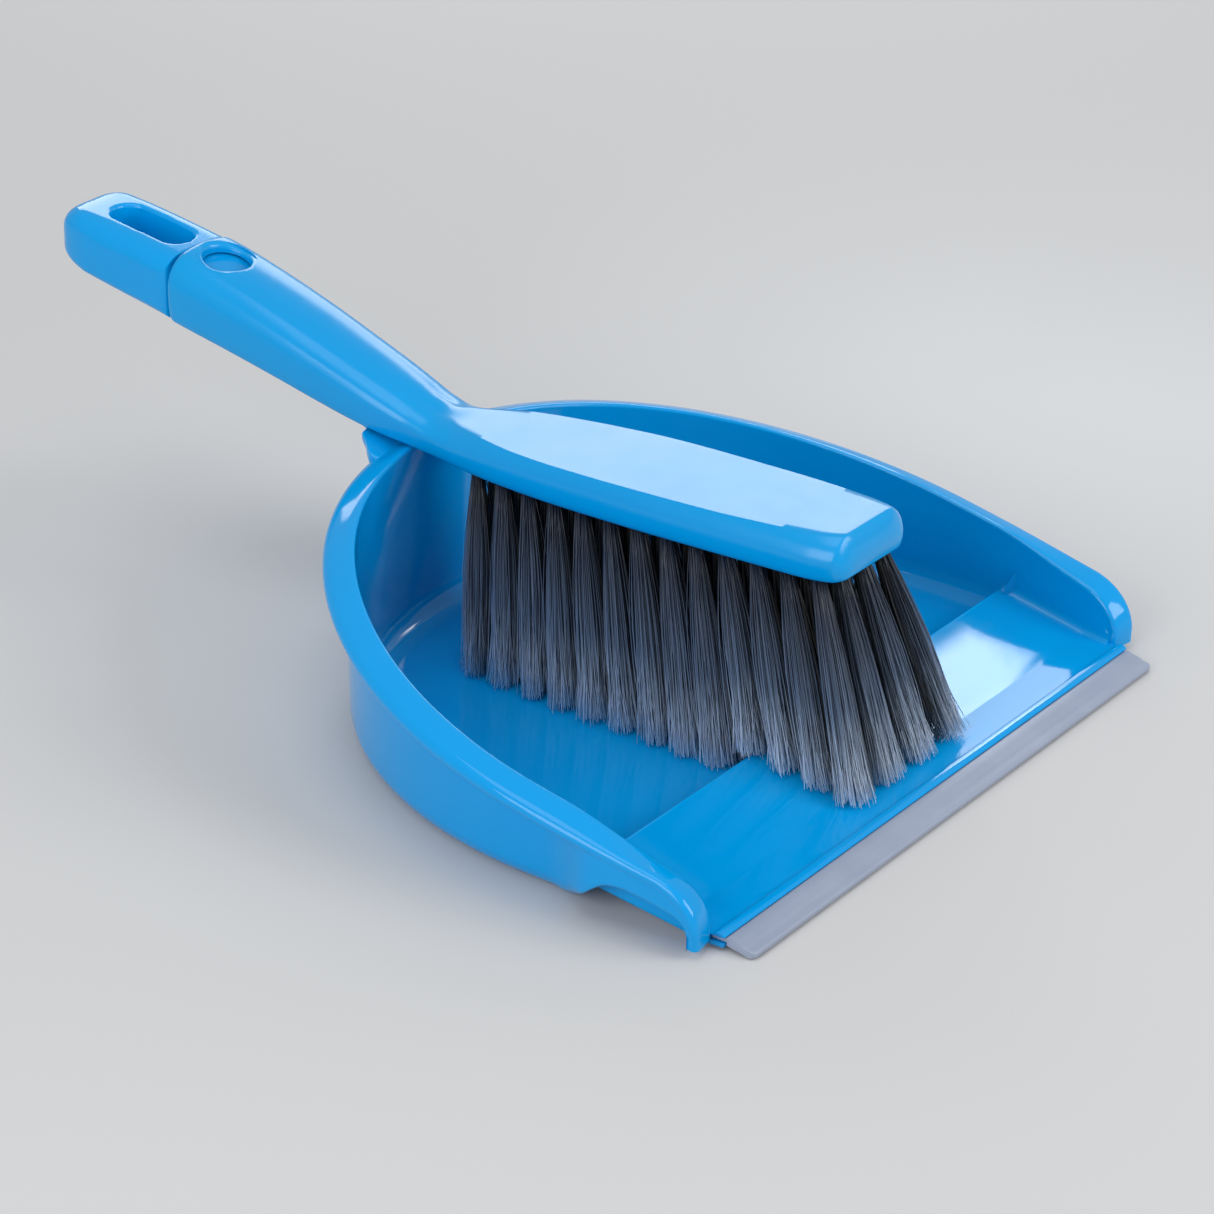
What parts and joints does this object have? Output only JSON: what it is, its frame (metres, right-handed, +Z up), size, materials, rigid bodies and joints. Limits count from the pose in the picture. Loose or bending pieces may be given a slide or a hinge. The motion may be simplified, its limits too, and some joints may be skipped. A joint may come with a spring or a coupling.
{
  "type": "dust pan and brush set",
  "caption": "Moulded dust pan with a soft front lip, and a hand brush that stores with its hollow handle over the pan's handle.",
  "frame": {"origin": "centre of the whole set's footprint, on the ground", "axes": "+Z up, +Y from the front lip back to the handle, X across the pan"},
  "size_m": [0.2388, 0.333, 0.1028],
  "materials": {
    "blue_polypropylene": "injection moulded, semi-gloss",
    "brush_polypropylene": "injection moulded, semi-gloss",
    "grey_lip_rubber": "satin",
    "bristle_fibre": "crimped fibre with feathered tips"
  },
  "bodies": {
    "pan": {"pan_body": "blue_polypropylene", "front_lip": "grey_lip_rubber"},
    "brush": {"brush_body": "brush_polypropylene", "tuft_1_01": "bristle_fibre", "tuft_1_02": "bristle_fibre", "tuft_1_03": "bristle_fibre", "tuft_1_04": "bristle_fibre", "tuft_1_05": "bristle_fibre", "tuft_1_06": "bristle_fibre", "tuft_1_07": "bristle_fibre", "tuft_1_08": "bristle_fibre", "tuft_1_09": "bristle_fibre", "tuft_1_10": "bristle_fibre", "tuft_1_11": "bristle_fibre", "tuft_1_12": "bristle_fibre", "tuft_1_13": "bristle_fibre", "tuft_2_01": "bristle_fibre", "tuft_2_02": "bristle_fibre", "tuft_2_03": "bristle_fibre", "tuft_2_04": "bristle_fibre", "tuft_2_05": "bristle_fibre", "tuft_2_06": "bristle_fibre", "tuft_2_07": "bristle_fibre", "tuft_2_08": "bristle_fibre", "tuft_2_09": "bristle_fibre", "tuft_2_10": "bristle_fibre", "tuft_2_11": "bristle_fibre", "tuft_2_12": "bristle_fibre", "tuft_2_13": "bristle_fibre", "tuft_3_01": "bristle_fibre", "tuft_3_02": "bristle_fibre", "tuft_3_03": "bristle_fibre", "tuft_3_04": "bristle_fibre", "tuft_3_05": "bristle_fibre", "tuft_3_06": "bristle_fibre", "tuft_3_07": "bristle_fibre", "tuft_3_08": "bristle_fibre", "tuft_3_09": "bristle_fibre", "tuft_3_10": "bristle_fibre", "tuft_3_11": "bristle_fibre", "tuft_3_12": "bristle_fibre", "tuft_3_13": "bristle_fibre", "tuft_4_01": "bristle_fibre", "tuft_4_02": "bristle_fibre", "tuft_4_03": "bristle_fibre", "tuft_4_04": "bristle_fibre", "tuft_4_05": "bristle_fibre", "tuft_4_06": "bristle_fibre", "tuft_4_07": "bristle_fibre", "tuft_4_08": "bristle_fibre", "tuft_4_09": "bristle_fibre", "tuft_4_10": "bristle_fibre", "tuft_4_11": "bristle_fibre", "tuft_4_12": "bristle_fibre", "tuft_4_13": "bristle_fibre"}
  },
  "joints": [
    {"name": "brush_lift_off", "type": "slide", "parent": "pan", "child": "brush", "axis": [0, 0, 1], "range_m": [0, 0.12]}
  ]
}
